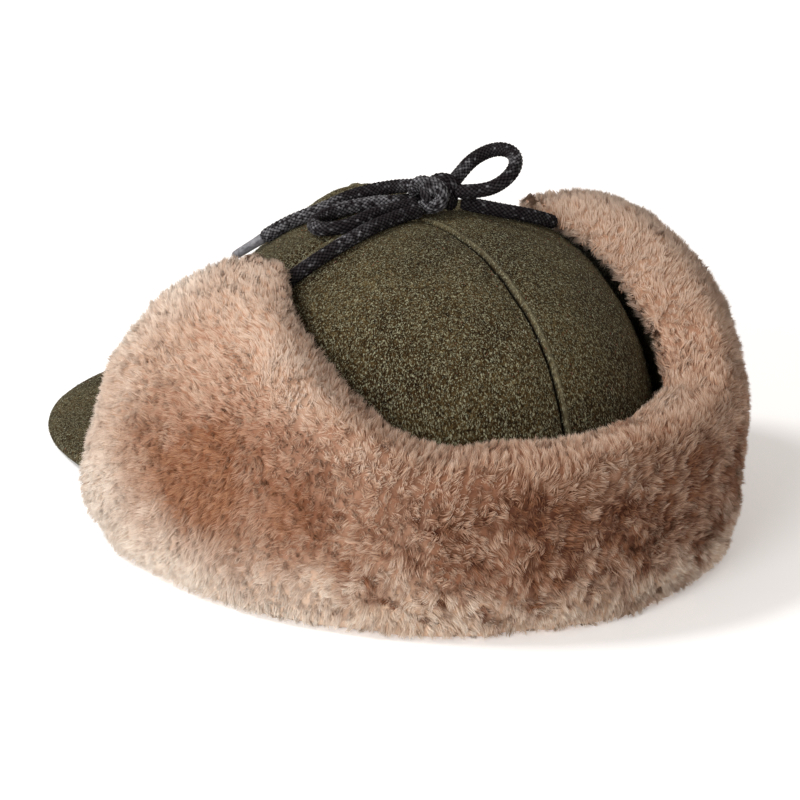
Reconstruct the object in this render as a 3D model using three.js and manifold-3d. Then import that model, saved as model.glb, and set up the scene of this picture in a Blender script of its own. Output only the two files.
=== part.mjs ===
// A wool cap with a short peak and a deep shearling band turned up round its crown.
// A round lace from each ear flap crosses the crown and is tied in a bow on top.
// Millimetres, +Z up. The peak points to -Y and the wearer's left side is +X.
// The cap lies on the lower edge of its pile, at z = 0.
// A bearing is an angle round the head in degrees: 0 at the middle of the peak,
// 90 at the wearer's left ear, 180 at the back and 270 at the right ear.

import * as THREE from "three";
import { mergeVertices } from "three/addons/utils/BufferGeometryUtils.js";
import Module from "manifold-3d";

const wasm = await Module();
wasm.setup();

const { clamp, degToRad, lerp, smoothstep } = THREE.MathUtils;

// Crown of four wool panels: sizes are to the outer face of the wool
const headHalfWidth = 89;
const headHalfFront = 107;
const headHalfBack = 109;
const crownHeight = 120.6;
const crownSetBack = 5;
const hemHeight = 6;
const frontHemRise = 8;
const woolThickness = 2.2;
const seamGap = 0.3;
const seamDip = 1;
const seamDipWidth = 6;
const sideRoundness = 2.6;
const frontRoundness = 1.8;

// The crown's top has a ridge across its front half, with a shallow dish round it
const ridgeHeight = 9.8;
const ridgeForward = 31.6;
const ridgeHalfDepth = 15.6;
const ridgeHalfSpan = 25;
const dishDepth = 2.9;
const dishForward = 10.2;
const dishRadius = 37.7;

// Peak
const peakReach = 72;
const peakHalfBearing = 60;
const peakThickness = 5;
const peakDroopDegrees = 10.5;
const peakRootHeight = 17;
const peakSideDrop = 6;
const peakOutlinePower = 5;
const peakSpread = 0.1;

// Turned-up flap band: wool cloth inside, shearling pile outside
const clothGap = 0.7;
const clothThickness = 1.8;
const clearance = 0.45;
const pileDepth = 27;
const earHeight = 112.5;
const bandHeight = 67.5;
const frontBearing = 62;
const bandFlare = 7.5;
const earFlare = 6;
const frontFlare = 5;
const pileFrontHeight = 22;
const pileFrontTopShare = 0.72;
const pileFrontDepthShare = 0.25;
const pileRoundness = { power: 4.4, root: 0.28 };
const bulgeRises = { low: -0.3, high: 0.7 };
const pileSettle = 3;
const clothTopRise = 0.7;
const bandRoll = 5;
const clothFrontMargin = 6;
const lockMargin = 5;
const slopeSpan = 45;
const leanFrom = 100;

// Shape of each ear flap: bearings in degrees, height, slope, bulge and roll as shares of
// the ear's height, and depth as a share of the pile's
const earFlaps = {
  left: {
    earBearing: 95,
    bandBearing: 151,
    height: 1,
    frontSlope: 0.01,
    lean: 12,
    depth: 1,
    bulge: 0.01,
    roll: 0.01,
  },
  right: {
    earBearing: 104,
    bandBearing: 147,
    height: 1.04,
    frontSlope: 0.05,
    lean: 25,
    depth: 0.98,
    bulge: 0.065,
    roll: 0.075,
  },
};

// Locks of the pile. rise runs from -1 at the band's lower edge to 1 at its upper edge.
// length is a share of the band's height there, width and lift are shares of its depth,
// and fall is 1 where the lock points up and -1 where it points down.
const lockRows = [
  { rise: -0.5, count: 17, length: 0.22, width: 1.2, lift: 0.09, fall: -1 },
  { rise: -0.12, count: 16, length: 0.34, width: 1.25, lift: 0.1, fall: -1 },
  { rise: -0.02, count: 17, length: 0.34, width: 1.25, lift: 0.1, fall: 1 },
  { rise: 0.42, count: 16, length: 0.22, width: 1.2, lift: 0.09, fall: 1 },
];
const lockSides = 5;
const lockRootShare = 0.1;
const pileSeamBearings = [136, 224];
const pileSeamGap = 0.35;

// Laces, bow and aglets
const laceDiameter = 5;
const laceSides = 9;
const laceStep = 11;
const agletDiameter = 4;
const agletLength = 14;
const agletSides = 10;
const agletGap = 0.5;
const knotWidth = 15;
const knotDepth = 12;
const knotHeight = 12.4;
const knotPlace = { x: -7.7, y: 13.9, z: 125.7 };
const knotBearing = 35;

// Wraps of the knot, as shares of its size: a middle band over two rounded sides
const knotWraps = [
  { along: -0.2, up: -0.06, width: 0.62, depth: 0.86, height: 0.86, lean: 12 },
  { along: 0.22, up: -0.04, width: 0.58, depth: 0.84, height: 0.84, lean: -14 },
  { along: 0, up: 0.02, width: 0.48, depth: 1, height: 0.96, lean: 30 },
];

// Routes of the laces, from the left ear's lace to the right ear's hidden free end
const leftStrandRoute = [
  [60.6, 13.4, 104.8],
  [54.8, 15.5, 109.1],
  [49.6, 17.3, 112.4],
  [43.6, 18.4, 115.3],
  [37.4, 18.8, 117.6],
  [30.6, 18.4, 119.4],
  [23.4, 17.6, 120.7],
  [16, 16.4, 121.3],
  [8.8, 15.6, 121.6],
  [1.6, 15.6, 121.9],
];
const leftLoopRoute = [
  [-0.6, 10, 122.6],
  [4.6, 8.2, 121.6],
  [9.8, 7.4, 121.3],
  [15.4, 7.6, 121.2],
  [21, 8.5, 120.9],
  [26.6, 9, 120.2],
  [30.9, 7.9, 119.3],
  [34.2, 4.9, 118.3],
  [35.9, 0.6, 117.4],
  [35.3, -4, 116.8],
  [32.5, -7.8, 116.7],
  [28.2, -9.9, 117.2],
  [23, -10.3, 118],
  [17.4, -9.4, 119],
  [12, -7.8, 119.6],
  [7, -5.2, 120.2],
  [2.4, -1.4, 120.8],
  [-1.8, 2.8, 121.6],
  [-4.9, 6.6, 122.5],
];
const leftEndRoute = [
  [-2.6, 6.6, 128.2],
  [-1.4, 1.4, 127],
  [0.2, -4.2, 125.4],
  [2.4, -9.2, 123.7],
  [5.6, -13.4, 122],
  [9.6, -16.2, 120.5],
  [14.2, -17.5, 119.2],
  [19, -18.3, 117.7],
  [23.6, -19.8, 116.1],
  [27.6, -22.5, 114.2],
  [30.8, -26, 111.8],
  [33.6, -29.6, 109],
  [35.8, -32.5, 106.5],
  [37.4, -34.6, 104.4],
];
const rightLoopRoute = [
  [-14.9, 13.2, 129.3],
  [-19.3, 11.9, 131.8],
  [-24, 10.8, 134.3],
  [-27.8, 11.2, 136.3],
  [-31.2, 13, 138],
  [-33.7, 16.5, 139.2],
  [-34.6, 21.1, 139.4],
  [-33.7, 25.6, 138.7],
  [-31.2, 29.4, 137.1],
  [-27.4, 31.8, 135],
  [-23.4, 32.2, 132.8],
  [-19.8, 30.8, 130.9],
  [-16.9, 28, 129.6],
  [-14.5, 23.7, 128.5],
  [-12.4, 19.3, 127.6],
];
const rightStrandRoute = [
  [-16.2, 16.4, 121.8],
  [-19.2, 19.5, 121.2],
  [-22.3, 22.6, 120.6],
  [-25.2, 25.4, 120],
  [-28.5, 27.7, 119.2],
  [-32.5, 29.3, 118.1],
  [-37, 30.1, 116.6],
  [-41.6, 30.4, 114.8],
  [-46.2, 30.1, 112.7],
  [-48.9, 29.6, 111.3],
];
const rightEndRoute = [
  [-12, 6.2, 124.4],
  [-14.5, -1, 122.4],
  [-17, -8.5, 120.6],
  [-20.5, -16, 118.2],
  [-25, -23.2, 115.1],
  [-30.2, -30, 110.8],
  [-35, -36, 105.8],
  [-39.5, -41.5, 100.2],
];
const leftAgletAim = [8.5, -8, -8];
const rightAgletAim = [-4.6, -5.6, -6.2];

// Angle from the front, the same on both sides of the head
function fromFront(bearing) {
  const turn = ((bearing % 360) + 360) % 360;
  return Math.min(turn, 360 - turn);
}

function crownRoundness(bearing) {
  return lerp(frontRoundness, sideRoundness, smoothstep(fromFront(bearing), 30, 110));
}

function headHalfLength(bearing) {
  return fromFront(bearing) < 90 ? headHalfFront : headHalfBack;
}

function crownHem(bearing) {
  return hemHeight + frontHemRise * (1 - smoothstep(fromFront(bearing), 30, 70));
}

function bell(distance, halfWidth) {
  return Math.exp(-((distance / halfWidth) ** 2));
}

// Height that the ridge and the dish add to the crown's top
function topForm(x, y) {
  const ridge = ridgeHeight * bell(y + ridgeForward, ridgeHalfDepth) * bell(x, ridgeHalfSpan);
  const dish = dishDepth * bell(Math.hypot(x, y + dishForward), dishRadius);
  return ridge - dish;
}

// A point of the crown, climb 0 at the hem and 1 at the top, inset from the outer face
function crownPoint(bearing, climb, inset) {
  const power = 2 / crownRoundness(bearing);
  const reach = Math.cos(climb * Math.PI / 2) ** power;
  const rise = Math.sin(climb * Math.PI / 2) ** power;
  const around = degToRad(bearing);
  const fromSeam = Math.abs((((bearing + 45) % 90) + 90) % 90 - 45);
  const dip = seamDip * bell(headHalfWidth * reach * degToRad(fromSeam), seamDipWidth);
  const within = inset + dip;
  const x = (headHalfWidth - within) * reach * Math.sin(around);
  const y = crownSetBack * rise - (headHalfLength(bearing) - within) * reach * Math.cos(around);
  const hem = crownHem(bearing);
  const z = hem + (crownHeight - within - hem) * rise + topForm(x, y);
  return new THREE.Vector3(x, y, z);
}

// A point beside the crown at a height, pushed out from its outer face
function besideCrown(bearing, height, outward) {
  const power = crownRoundness(bearing);
  const hem = crownHem(bearing);
  const rise = clamp((height - hem) / (crownHeight - hem), 0, 1);
  const reach = (1 - rise ** power) ** (1 / power);
  const around = degToRad(bearing);
  const x = Math.sin(around) * (headHalfWidth * reach + outward);
  const y = crownSetBack * rise - Math.cos(around) * (headHalfLength(bearing) * reach + outward);
  return new THREE.Vector3(x, y, height);
}

// Closed body through rings of points, with a point at each end
function bodyFromRings(rings, startTip, endTip) {
  const around = rings[0].length;
  const vertices = [];
  for (const ring of rings) {
    for (const point of ring) {
      vertices.push(point.x, point.y, point.z);
    }
  }
  vertices.push(startTip.x, startTip.y, startTip.z);
  vertices.push(endTip.x, endTip.y, endTip.z);
  const startIndex = rings.length * around;
  const endIndex = startIndex + 1;
  const lastRing = (rings.length - 1) * around;
  const indices = [];
  for (let column = 0; column < around; column += 1) {
    const next = (column + 1) % around;
    indices.push(startIndex, next, column);
    indices.push(endIndex, lastRing + column, lastRing + next);
    for (let row = 0; row < rings.length - 1; row += 1) {
      const low = row * around;
      const high = low + around;
      indices.push(low + column, low + next, high + next);
      indices.push(low + column, high + next, high + column);
    }
  }
  const geometry = new THREE.BufferGeometry();
  geometry.setAttribute("position", new THREE.Float32BufferAttribute(vertices, 3));
  geometry.setIndex(indices);
  return faceOutward(geometry);
}

function middleOf(points) {
  const sum = new THREE.Vector3();
  for (const point of points) {
    sum.add(point);
  }
  return sum.divideScalar(points.length);
}

function capped(rings) {
  return bodyFromRings(rings, middleOf(rings[0]), middleOf(rings[rings.length - 1]));
}

// Turns a closed geometry's faces outward where its volume comes out negative
function faceOutward(geometry) {
  const position = geometry.attributes.position;
  const index = geometry.index.array;
  const corners = [new THREE.Vector3(), new THREE.Vector3(), new THREE.Vector3()];
  let volume = 0;
  for (let start = 0; start < index.length; start += 3) {
    corners.forEach((corner, k) => corner.fromBufferAttribute(position, index[start + k]));
    volume += corners[0].dot(corners[1].clone().cross(corners[2]));
  }
  if (volume < 0) {
    for (let start = 0; start < index.length; start += 3) {
      const first = index[start];
      index[start] = index[start + 1];
      index[start + 1] = first;
    }
  }
  return geometry;
}

function toSolid(geometry) {
  const bare = geometry.clone();
  bare.deleteAttribute("normal");
  bare.deleteAttribute("uv");
  const merged = mergeVertices(bare, 1e-4);
  const mesh = new wasm.Mesh({
    numProp: 3,
    vertProperties: new Float32Array(merged.attributes.position.array),
    triVerts: new Uint32Array(merged.index.array),
  });
  mesh.merge();
  return new wasm.Manifold(mesh);
}

function toGeometry(solid) {
  const mesh = solid.getMesh();
  const geometry = new THREE.BufferGeometry();
  geometry.setAttribute("position", new THREE.BufferAttribute(mesh.vertProperties, 3));
  geometry.setIndex(new THREE.BufferAttribute(mesh.triVerts, 1));
  return geometry;
}

// Box between two corners, turned about the head's axis by a bearing
function blockSolid(low, high, turnDegrees) {
  const size = new THREE.Vector3().subVectors(high, low);
  const geometry = new THREE.BoxGeometry(size.x, size.y, size.z);
  geometry.translate((low.x + high.x) / 2, (low.y + high.y) / 2, (low.z + high.z) / 2);
  geometry.rotateZ(degToRad(turnDegrees));
  return toSolid(geometry);
}

const farOut = 4 * headHalfBack;

// Crown panels: one dome of wool cut in four along the seams
const crownRowCount = 9;
const seamSideBearing = 3;
const bearingsPerPanel = 9;

function crownBearings() {
  const bearings = [];
  for (let quarter = 0; quarter < 4; quarter += 1) {
    const seam = quarter * 90;
    bearings.push(seam);
    for (let k = 0; k < bearingsPerPanel; k += 1) {
      const share = k / (bearingsPerPanel - 1);
      bearings.push(seam + lerp(seamSideBearing, 90 - seamSideBearing, share));
    }
  }
  return bearings;
}

function crownDome() {
  const bearings = crownBearings();
  const outer = [];
  const inner = [];
  for (let row = 0; row < crownRowCount; row += 1) {
    const climb = row / crownRowCount;
    outer.push(bearings.map((bearing) => crownPoint(bearing, climb, 0)));
    inner.unshift(bearings.map((bearing) => crownPoint(bearing, climb, woolThickness)));
  }
  const top = crownPoint(0, 1, 0);
  const innerTop = crownPoint(0, 1, woolThickness);
  return toSolid(bodyFromRings([...inner, ...outer], innerTop, top));
}

function crownPanels() {
  const dome = crownDome();
  const panels = {};
  const sides = { left: 1, right: -1 };
  const ends = { front: -1, back: 1 };
  for (const [end, alongY] of Object.entries(ends)) {
    for (const [side, alongX] of Object.entries(sides)) {
      const nearX = alongX * seamGap / 2;
      const nearY = crownSetBack + alongY * seamGap / 2;
      const low = new THREE.Vector3(
        Math.min(nearX, alongX * farOut),
        Math.min(nearY, alongY * farOut),
        -farOut,
      );
      const high = new THREE.Vector3(
        Math.max(nearX, alongX * farOut),
        Math.max(nearY, alongY * farOut),
        farOut,
      );
      const panel = dome.intersect(blockSolid(low, high, 0));
      panels[`crown_panel_${end}_${side}`] = toGeometry(panel);
    }
  }
  return panels;
}

// Peak: a thick curved blade with a rounded rim, seated against the crown's front
const peakColumnCount = 18;
const peakShares = [0, 0.2, 0.4, 0.6, 0.78, 0.91, 0.98];
const peakEdgeShare = 0.12;
const peakSideShare = 0.97;

function peakPoint(side, share, lift, spare) {
  const bearing = side * peakHalfBearing;
  const around = degToRad(bearing);
  const outline = Math.sqrt(Math.max(0, 1 - Math.abs(side) ** peakOutlinePower));
  const reach = peakReach * outline * share;
  const x = (headHalfWidth + clearance) * Math.sin(around) * (1 + peakSpread * share);
  const y = -(headHalfFront + clearance) * Math.cos(around) - reach;
  const droop = Math.tan(degToRad(peakDroopDegrees)) * reach;
  const z = peakRootHeight - droop - peakSideDrop * side ** 2 + lift;
  return new THREE.Vector3(x, y + (share === 0 ? spare : -spare * share), z);
}

function peakSection(side, spare) {
  const upper = [];
  const lower = [];
  for (const share of peakShares) {
    const toRim = clamp((1 - share) / peakEdgeShare, 0, 1);
    const round = Math.sqrt(1 - (1 - toRim) ** 2);
    const half = peakThickness / 2 * round + spare;
    upper.push(peakPoint(side, share, half, spare));
    lower.unshift(peakPoint(side, share, -half, spare));
  }
  return [...upper, peakPoint(side, 1, 0, spare), ...lower];
}

function peakBody(spare) {
  const rings = [];
  const widest = 1 + spare / headHalfWidth;
  for (let column = 0; column <= peakColumnCount; column += 1) {
    const even = lerp(-1, 1, column / peakColumnCount);
    const side = Math.sin(even * Math.PI / 2 * peakSideShare) * widest;
    rings.push(peakSection(side, spare));
  }
  return capped(rings);
}

// Flap band: bearings, height and flare at each bearing round the head
function flapAt(bearing) {
  const flap = bearing < 180 ? earFlaps.left : earFlaps.right;
  const away = fromFront(bearing);
  const ear = smoothstep(flap.bandBearing - away, 0, flap.bandBearing - flap.earBearing);
  const beforeEar = clamp((flap.earBearing - away) / slopeSpan, 0, 1.3);
  const slope = flap.frontSlope * earHeight * beforeEar ** 1.3;
  const height = lerp(bandHeight, flap.height * earHeight, ear) - slope;
  const flare = lerp(bandFlare, earFlare, ear);
  const lean = flap.lean * clamp((leanFrom - away) / (leanFrom - frontBearing), 0, 1);
  return {
    height,
    flare,
    frontOut: frontFlare * beforeEar ** 2,
    lean: bearing < 180 ? lean : -lean,
    depth: pileDepth * lerp(1, flap.depth, ear),
    bulge: flap.bulge * earHeight * ear,
    roll: lerp(bandRoll, flap.roll * earHeight, ear),
  };
}

function flapOutward(flap, height) {
  return flap.flare * clamp(height / flap.height, 0, 1) ** 1.5 + flap.frontOut;
}

function flapPoint(bearing, flap, height, outward) {
  const leaning = bearing + flap.lean * clamp(height / earHeight, 0, 1);
  return besideCrown(leaning, height, outward + flapOutward(flap, height));
}

// Columns round the band, which its cloth and its pile share
const bandColumnStep = 9;
const pileRoundingBearing = 13;
const pileLowRoundingBearing = 34;
const pileFrontShares = [0, 0.04, 0.16, 0.36, 0.64];

function bandBearings() {
  const fronts = pileFrontShares.map((share) => frontBearing + share * pileRoundingBearing);
  const first = frontBearing + pileRoundingBearing;
  const last = 360 - first;
  const steps = Math.round((last - first) / bandColumnStep);
  const middle = [];
  for (let step = 0; step <= steps; step += 1) {
    middle.push(lerp(first, last, step / steps));
  }
  const ends = fronts.map((bearing) => 360 - bearing).reverse();
  return [...fronts, ...middle, ...ends];
}

// Round run-in from 0 at the front edge of each ear flap to 1 a span behind it
function roundedFront(bearing, span) {
  const fromEnd = clamp((fromFront(bearing) - frontBearing) / span, 0, 1);
  return Math.sqrt(1 - (1 - fromEnd) ** 2);
}

// How full the pile is: it thins out towards the front edge of each ear flap
function pileFullness(bearing) {
  return roundedFront(bearing, pileRoundingBearing);
}

function bandHeightAt(bearing, flap, rise) {
  const lowRound = roundedFront(bearing, pileLowRoundingBearing);
  const bottom = lerp(pileFrontHeight, -pileSettle, lowRound);
  const top = flap.height * lerp(pileFrontTopShare, 1, pileFullness(bearing));
  return lerp(bottom, top, (1 + rise) / 2);
}

// Wool side of the turned-up band
const clothRises = [-0.88, -0.62, -0.36, -0.1, 0.16, 0.42, clothTopRise];

function clothSection(bearing) {
  const flap = flapAt(bearing);
  const outer = [];
  const inner = [];
  for (const rise of clothRises) {
    const height = bandHeightAt(bearing, flap, rise);
    outer.unshift(flapPoint(bearing, flap, height, clothGap + clothThickness));
    inner.push(flapPoint(bearing, flap, height, clothGap));
  }
  return [...outer, ...inner];
}

function flapCloth() {
  const start = frontBearing + clothFrontMargin;
  const covered = bandBearings().filter((bearing) => fromFront(bearing) >= start);
  return toSolid(capped(covered.map(clothSection)));
}

// Pile of the shearling: a plump band, with locks fused to it
const pileOuterRises = [-1, -0.97, -0.85, -0.5, -0.1, 0.3, 0.65, 0.88, 0.97, 1];
const pileRollRises = [0.97, 0.9, 0.81, 0.75];
const pileInnerRises = [...pileRollRises, ...[...clothRises].reverse()];

// A point of the pile's surface, side 1 on its outer face and -1 on its inner face.
// Above the cloth's upper edge the inner face rolls in over it towards the crown.
function pilePoint(bearing, rise, side) {
  const flap = flapAt(bearing);
  const fullness = pileFullness(bearing);
  const half = flap.depth / 2 * lerp(pileFrontDepthShare, 1, fullness);
  const across = side * (1 - Math.abs(rise) ** pileRoundness.power) ** pileRoundness.root;
  const rolled = flap.roll * smoothstep(rise, clothTopRise, pileRollRises[2]);
  const bulged = flap.bulge * smoothstep(rise, bulgeRises.low, bulgeRises.high);
  const swell = fullness * (side < 0 ? -rolled : bulged);
  const start = clothGap + clothThickness + clearance;
  const outward = start + flap.depth / 2 + half * across + swell;
  return flapPoint(bearing, flap, bandHeightAt(bearing, flap, rise), outward);
}

function pileBody() {
  const rings = bandBearings().map((bearing) => [
    ...pileOuterRises.map((rise) => pilePoint(bearing, rise, 1)),
    ...pileInnerRises.map((rise) => pilePoint(bearing, rise, -1)),
  ]);
  return toSolid(capped(rings));
}

// A lock: a flat tapering tuft rooted in the pile, with its tip clear of the surface
function lockSolid(bearing, row) {
  const root = pilePoint(bearing, row.rise, 1);
  const along = pilePoint(bearing, row.rise + 0.05 * row.fall, 1).sub(root).normalize();
  const sideways = pilePoint(bearing + 1, row.rise, 1).sub(root).normalize();
  const outward = new THREE.Vector3().crossVectors(sideways, along).normalize();
  outward.multiplyScalar(row.fall);
  const stages = [
    { travel: 0, lift: -1, size: 0.7 },
    { travel: 0.4, lift: 0.2, size: 1 },
    { travel: 0.8, lift: 0.4, size: 0.6 },
  ];
  const place = (travel, lift) =>
    root
      .clone()
      .addScaledVector(along, travel * row.length * flapAt(bearing).height)
      .addScaledVector(outward, lift * row.lift * pileDepth);
  const rings = stages.map((stage) => {
    const centre = place(stage.travel, stage.lift);
    const ring = [];
    for (let side = 0; side < lockSides; side += 1) {
      const angle = (side + 0.5) * 2 * Math.PI / lockSides;
      const wide = Math.sin(angle) * row.width / 2 * pileDepth * stage.size;
      const deep = Math.cos(angle) * lockRootShare * pileDepth * stage.size;
      ring.push(centre.clone().addScaledVector(sideways, wide).addScaledVector(outward, deep));
    }
    return ring;
  });
  return toSolid(bodyFromRings(rings, place(-0.1, -1.4), place(1, 0.7)));
}

function lockSolids() {
  const locks = [];
  const first = frontBearing + lockMargin;
  lockRows.forEach((row, level) => {
    for (let k = 0; k < row.count; k += 1) {
      const stagger = level % 2 === 0 ? 0.25 : 0.75;
      const bearing = lerp(first, 360 - first, (k + stagger) / row.count);
      locks.push(lockSolid(bearing, row));
    }
  });
  return locks;
}

// The whole pile, cut flat underneath and parted at its seams
function pileParts(peakRoom) {
  let pile = pileBody();
  for (const lock of lockSolids()) {
    pile = pile.add(lock);
  }
  const ground = new THREE.Vector3(farOut, farOut, 0);
  pile = pile.subtract(blockSolid(new THREE.Vector3(-farOut, -farOut, -farOut), ground, 0));
  pile = pile.subtract(peakRoom);
  for (const bearing of pileSeamBearings) {
    const low = new THREE.Vector3(-pileSeamGap / 2, -farOut, -farOut);
    const high = new THREE.Vector3(pileSeamGap / 2, 0, farOut);
    pile = pile.subtract(blockSolid(low, high, bearing));
  }
  const parts = {};
  const crumbShare = 0.01;
  const bodies = pile.decompose().filter((part) => part.volume() > crumbShare * pile.volume());
  for (const part of bodies) {
    const box = part.boundingBox();
    const middleX = (box.min[0] + box.max[0]) / 2;
    const middleY = (box.min[1] + box.max[1]) / 2;
    const isBack = middleY > headHalfBack / 2;
    const name = isBack ? "pile_back" : middleX > 0 ? "pile_left_ear" : "pile_right_ear";
    parts[name] = toGeometry(part);
  }
  return parts;
}

function routeVectors(route) {
  return route.map(([x, y, z]) => new THREE.Vector3(x, y, z));
}

function roundShape(diameter, sides) {
  const corners = [];
  for (let side = 0; side < sides; side += 1) {
    const angle = side * 2 * Math.PI / sides;
    corners.push(new THREE.Vector2(Math.cos(angle), Math.sin(angle)).multiplyScalar(diameter / 2));
  }
  return new THREE.Shape(corners);
}

// Lace: a round tube along a smooth curve through its route
function laceTube(route) {
  const path = new THREE.CatmullRomCurve3(routeVectors(route), false, "centripetal");
  return new THREE.ExtrudeGeometry(roundShape(laceDiameter, laceSides), {
    steps: Math.round(path.getLength() / laceStep),
    bevelEnabled: false,
    extrudePath: path,
  });
}

// Aglet: the stiff sleeve that follows a lace's free end
function agletSleeve(route, aim) {
  const end = routeVectors(route)[route.length - 1];
  const direction = new THREE.Vector3(...aim).normalize();
  const geometry = new THREE.CylinderGeometry(
    agletDiameter / 2,
    agletDiameter / 2,
    agletLength,
    agletSides,
  );
  const up = new THREE.Vector3(0, 1, 0);
  geometry.applyQuaternion(new THREE.Quaternion().setFromUnitVectors(up, direction));
  const middle = end.addScaledVector(direction, agletLength / 2 + agletGap);
  return geometry.translate(middle.x, middle.y, middle.z);
}

// Knot: rounded wraps fused into one body
function bowKnot() {
  let knot = null;
  for (const wrap of knotWraps) {
    const geometry = new THREE.SphereGeometry(0.5, 10, 6);
    geometry.scale(wrap.width * knotWidth, wrap.depth * knotDepth, wrap.height * knotHeight);
    geometry.rotateY(degToRad(wrap.lean));
    geometry.translate(wrap.along * knotWidth, 0, wrap.up * knotHeight);
    geometry.rotateZ(degToRad(-knotBearing));
    geometry.translate(knotPlace.x, knotPlace.y, knotPlace.z);
    const solid = toSolid(geometry);
    knot = knot ? knot.add(solid) : solid;
  }
  return toGeometry(knot);
}

const materials = {
  wool: new THREE.MeshStandardMaterial({ color: 0x45432f, roughness: 0.95, metalness: 0 }),
  pile: new THREE.MeshStandardMaterial({ color: 0xb08f7c, roughness: 0.9, metalness: 0 }),
  lace: new THREE.MeshStandardMaterial({ color: 0x2b292a, roughness: 0.8, metalness: 0 }),
  aglet: new THREE.MeshStandardMaterial({ color: 0x77777a, roughness: 0.5, metalness: 0 }),
};

function namedMesh(name, geometry, material) {
  const mesh = new THREE.Mesh(geometry, material);
  mesh.name = name;
  return mesh;
}

const body = new THREE.Group();
for (const [name, geometry] of Object.entries(crownPanels())) {
  body.add(namedMesh(name, geometry, materials.wool));
}
body.add(namedMesh("peak", peakBody(0), materials.wool));
const peakRoom = toSolid(peakBody(clearance));
body.add(namedMesh("flap_cloth", toGeometry(flapCloth().subtract(peakRoom)), materials.wool));
for (const [name, geometry] of Object.entries(pileParts(peakRoom))) {
  body.add(namedMesh(name, geometry, materials.pile));
}

const extent = new THREE.Box3().setFromObject(body);
const middle = extent.getCenter(new THREE.Vector3());

const bow = new THREE.Group();
const laceRoutes = {
  lace_left_strand: leftStrandRoute,
  lace_left_loop: leftLoopRoute,
  lace_left_end: leftEndRoute,
  lace_right_loop: rightLoopRoute,
  lace_right_strand: rightStrandRoute,
  lace_right_end: rightEndRoute,
};
for (const [name, route] of Object.entries(laceRoutes)) {
  bow.add(namedMesh(name, laceTube(route), materials.lace));
}
bow.add(namedMesh("bow_knot", bowKnot(), materials.lace));
bow.add(namedMesh("aglet_left", agletSleeve(leftEndRoute, leftAgletAim), materials.aglet));
bow.add(namedMesh("aglet_right", agletSleeve(rightEndRoute, rightAgletAim), materials.aglet));

const cap = new THREE.Group();
cap.add(body, bow);
cap.position.set(-middle.x, -middle.y, -extent.min.z);

export default cap;
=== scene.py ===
import math

import bpy
import numpy as np
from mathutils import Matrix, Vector


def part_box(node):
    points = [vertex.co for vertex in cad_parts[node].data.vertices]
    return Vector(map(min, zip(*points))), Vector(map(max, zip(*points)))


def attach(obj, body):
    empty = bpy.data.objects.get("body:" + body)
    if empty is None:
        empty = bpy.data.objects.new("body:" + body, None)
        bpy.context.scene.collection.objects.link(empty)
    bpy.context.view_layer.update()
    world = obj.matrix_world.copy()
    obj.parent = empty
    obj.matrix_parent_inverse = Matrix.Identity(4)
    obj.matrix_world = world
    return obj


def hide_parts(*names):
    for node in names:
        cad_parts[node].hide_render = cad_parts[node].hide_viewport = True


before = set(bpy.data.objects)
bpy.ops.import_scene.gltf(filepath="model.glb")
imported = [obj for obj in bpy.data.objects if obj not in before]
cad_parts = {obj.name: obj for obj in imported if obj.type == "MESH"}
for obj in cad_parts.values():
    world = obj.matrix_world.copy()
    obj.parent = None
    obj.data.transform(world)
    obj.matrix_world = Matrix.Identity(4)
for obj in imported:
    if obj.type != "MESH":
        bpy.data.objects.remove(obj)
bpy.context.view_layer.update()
bpy.ops.object.select_all(action="DESELECT")

MM = 0.001

# Crown, as in the part's source
HALF_WIDTH = 89.0
HALF_FRONT = 107.0
HALF_BACK = 109.0
CROWN_HEIGHT = 120.6
CROWN_SET_BACK = 5.0
HEM_HEIGHT = 6.0
FRONT_HEM_RISE = 8.0
WOOL_THICKNESS = 2.2
SEAM_GAP = 0.3
SEAM_DIP = 1.0
SEAM_DIP_WIDTH = 6.0
SIDE_ROUNDNESS = 2.6
FRONT_ROUNDNESS = 1.8
RIDGE = {"height": 9.8, "forward": 31.6, "depth": 15.6, "span": 25.0}
DISH = {"depth": 2.9, "forward": 10.2, "radius": 37.7}

# Peak
PEAK_REACH = 72.0
PEAK_HALF_BEARING = 60.0
PEAK_THICKNESS = 5.0
PEAK_DROOP = math.radians(10.5)
PEAK_ROOT_HEIGHT = 17.0
PEAK_SIDE_DROP = 6.0
PEAK_OUTLINE_POWER = 5
PEAK_SPREAD = 0.1

# Turned-up band
CLOTH_GAP = 0.7
CLOTH_THICKNESS = 1.8
CLEARANCE = 0.45
PILE_DEPTH = 27.0
EAR_HEIGHT = 112.5
BAND_HEIGHT = 67.5
FRONT_BEARING = 62.0
LAST_BEARING = 360 - FRONT_BEARING
BAND_FLARE = 7.5
EAR_FLARE = 6.0
FRONT_FLARE = 5.0
PILE_FRONT_HEIGHT = 22.0
PILE_FRONT_TOP_SHARE = 0.72
PILE_FRONT_DEPTH_SHARE = 0.25
PILE_POWER = 4.4
PILE_ROOT = 0.28
PILE_SETTLE = 3.0
PILE_ROUNDING = 13.0
PILE_LOW_ROUNDING = 34.0
BULGE_RISES = (-0.3, 0.7)
BAND_ROLL = 5.0
ROLL_FULL_RISE = 0.81
SLOPE_SPAN = 45.0
LEAN_FROM = 100.0
CLOTH_TOP_RISE = 0.7
CLOTH_LOW_RISE = -0.88
CLOTH_FRONT_MARGIN = 6.0
PILE_SEAMS = (136.0, 224.0)

# Laces
LACE_DIAMETER = 5.0
AGLET_DIAMETER = 4.0
AGLET_LENGTH = 14.0
AGLET_GAP = 0.5

# Least heights over the floor
PEAK_LEAST = 0.4
UNDERFUR_LEAST = 0.6
TIP_LEAST = 0.3
ROOT_LEAST = 0.8
NAP_LEAST = 0.1

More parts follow.
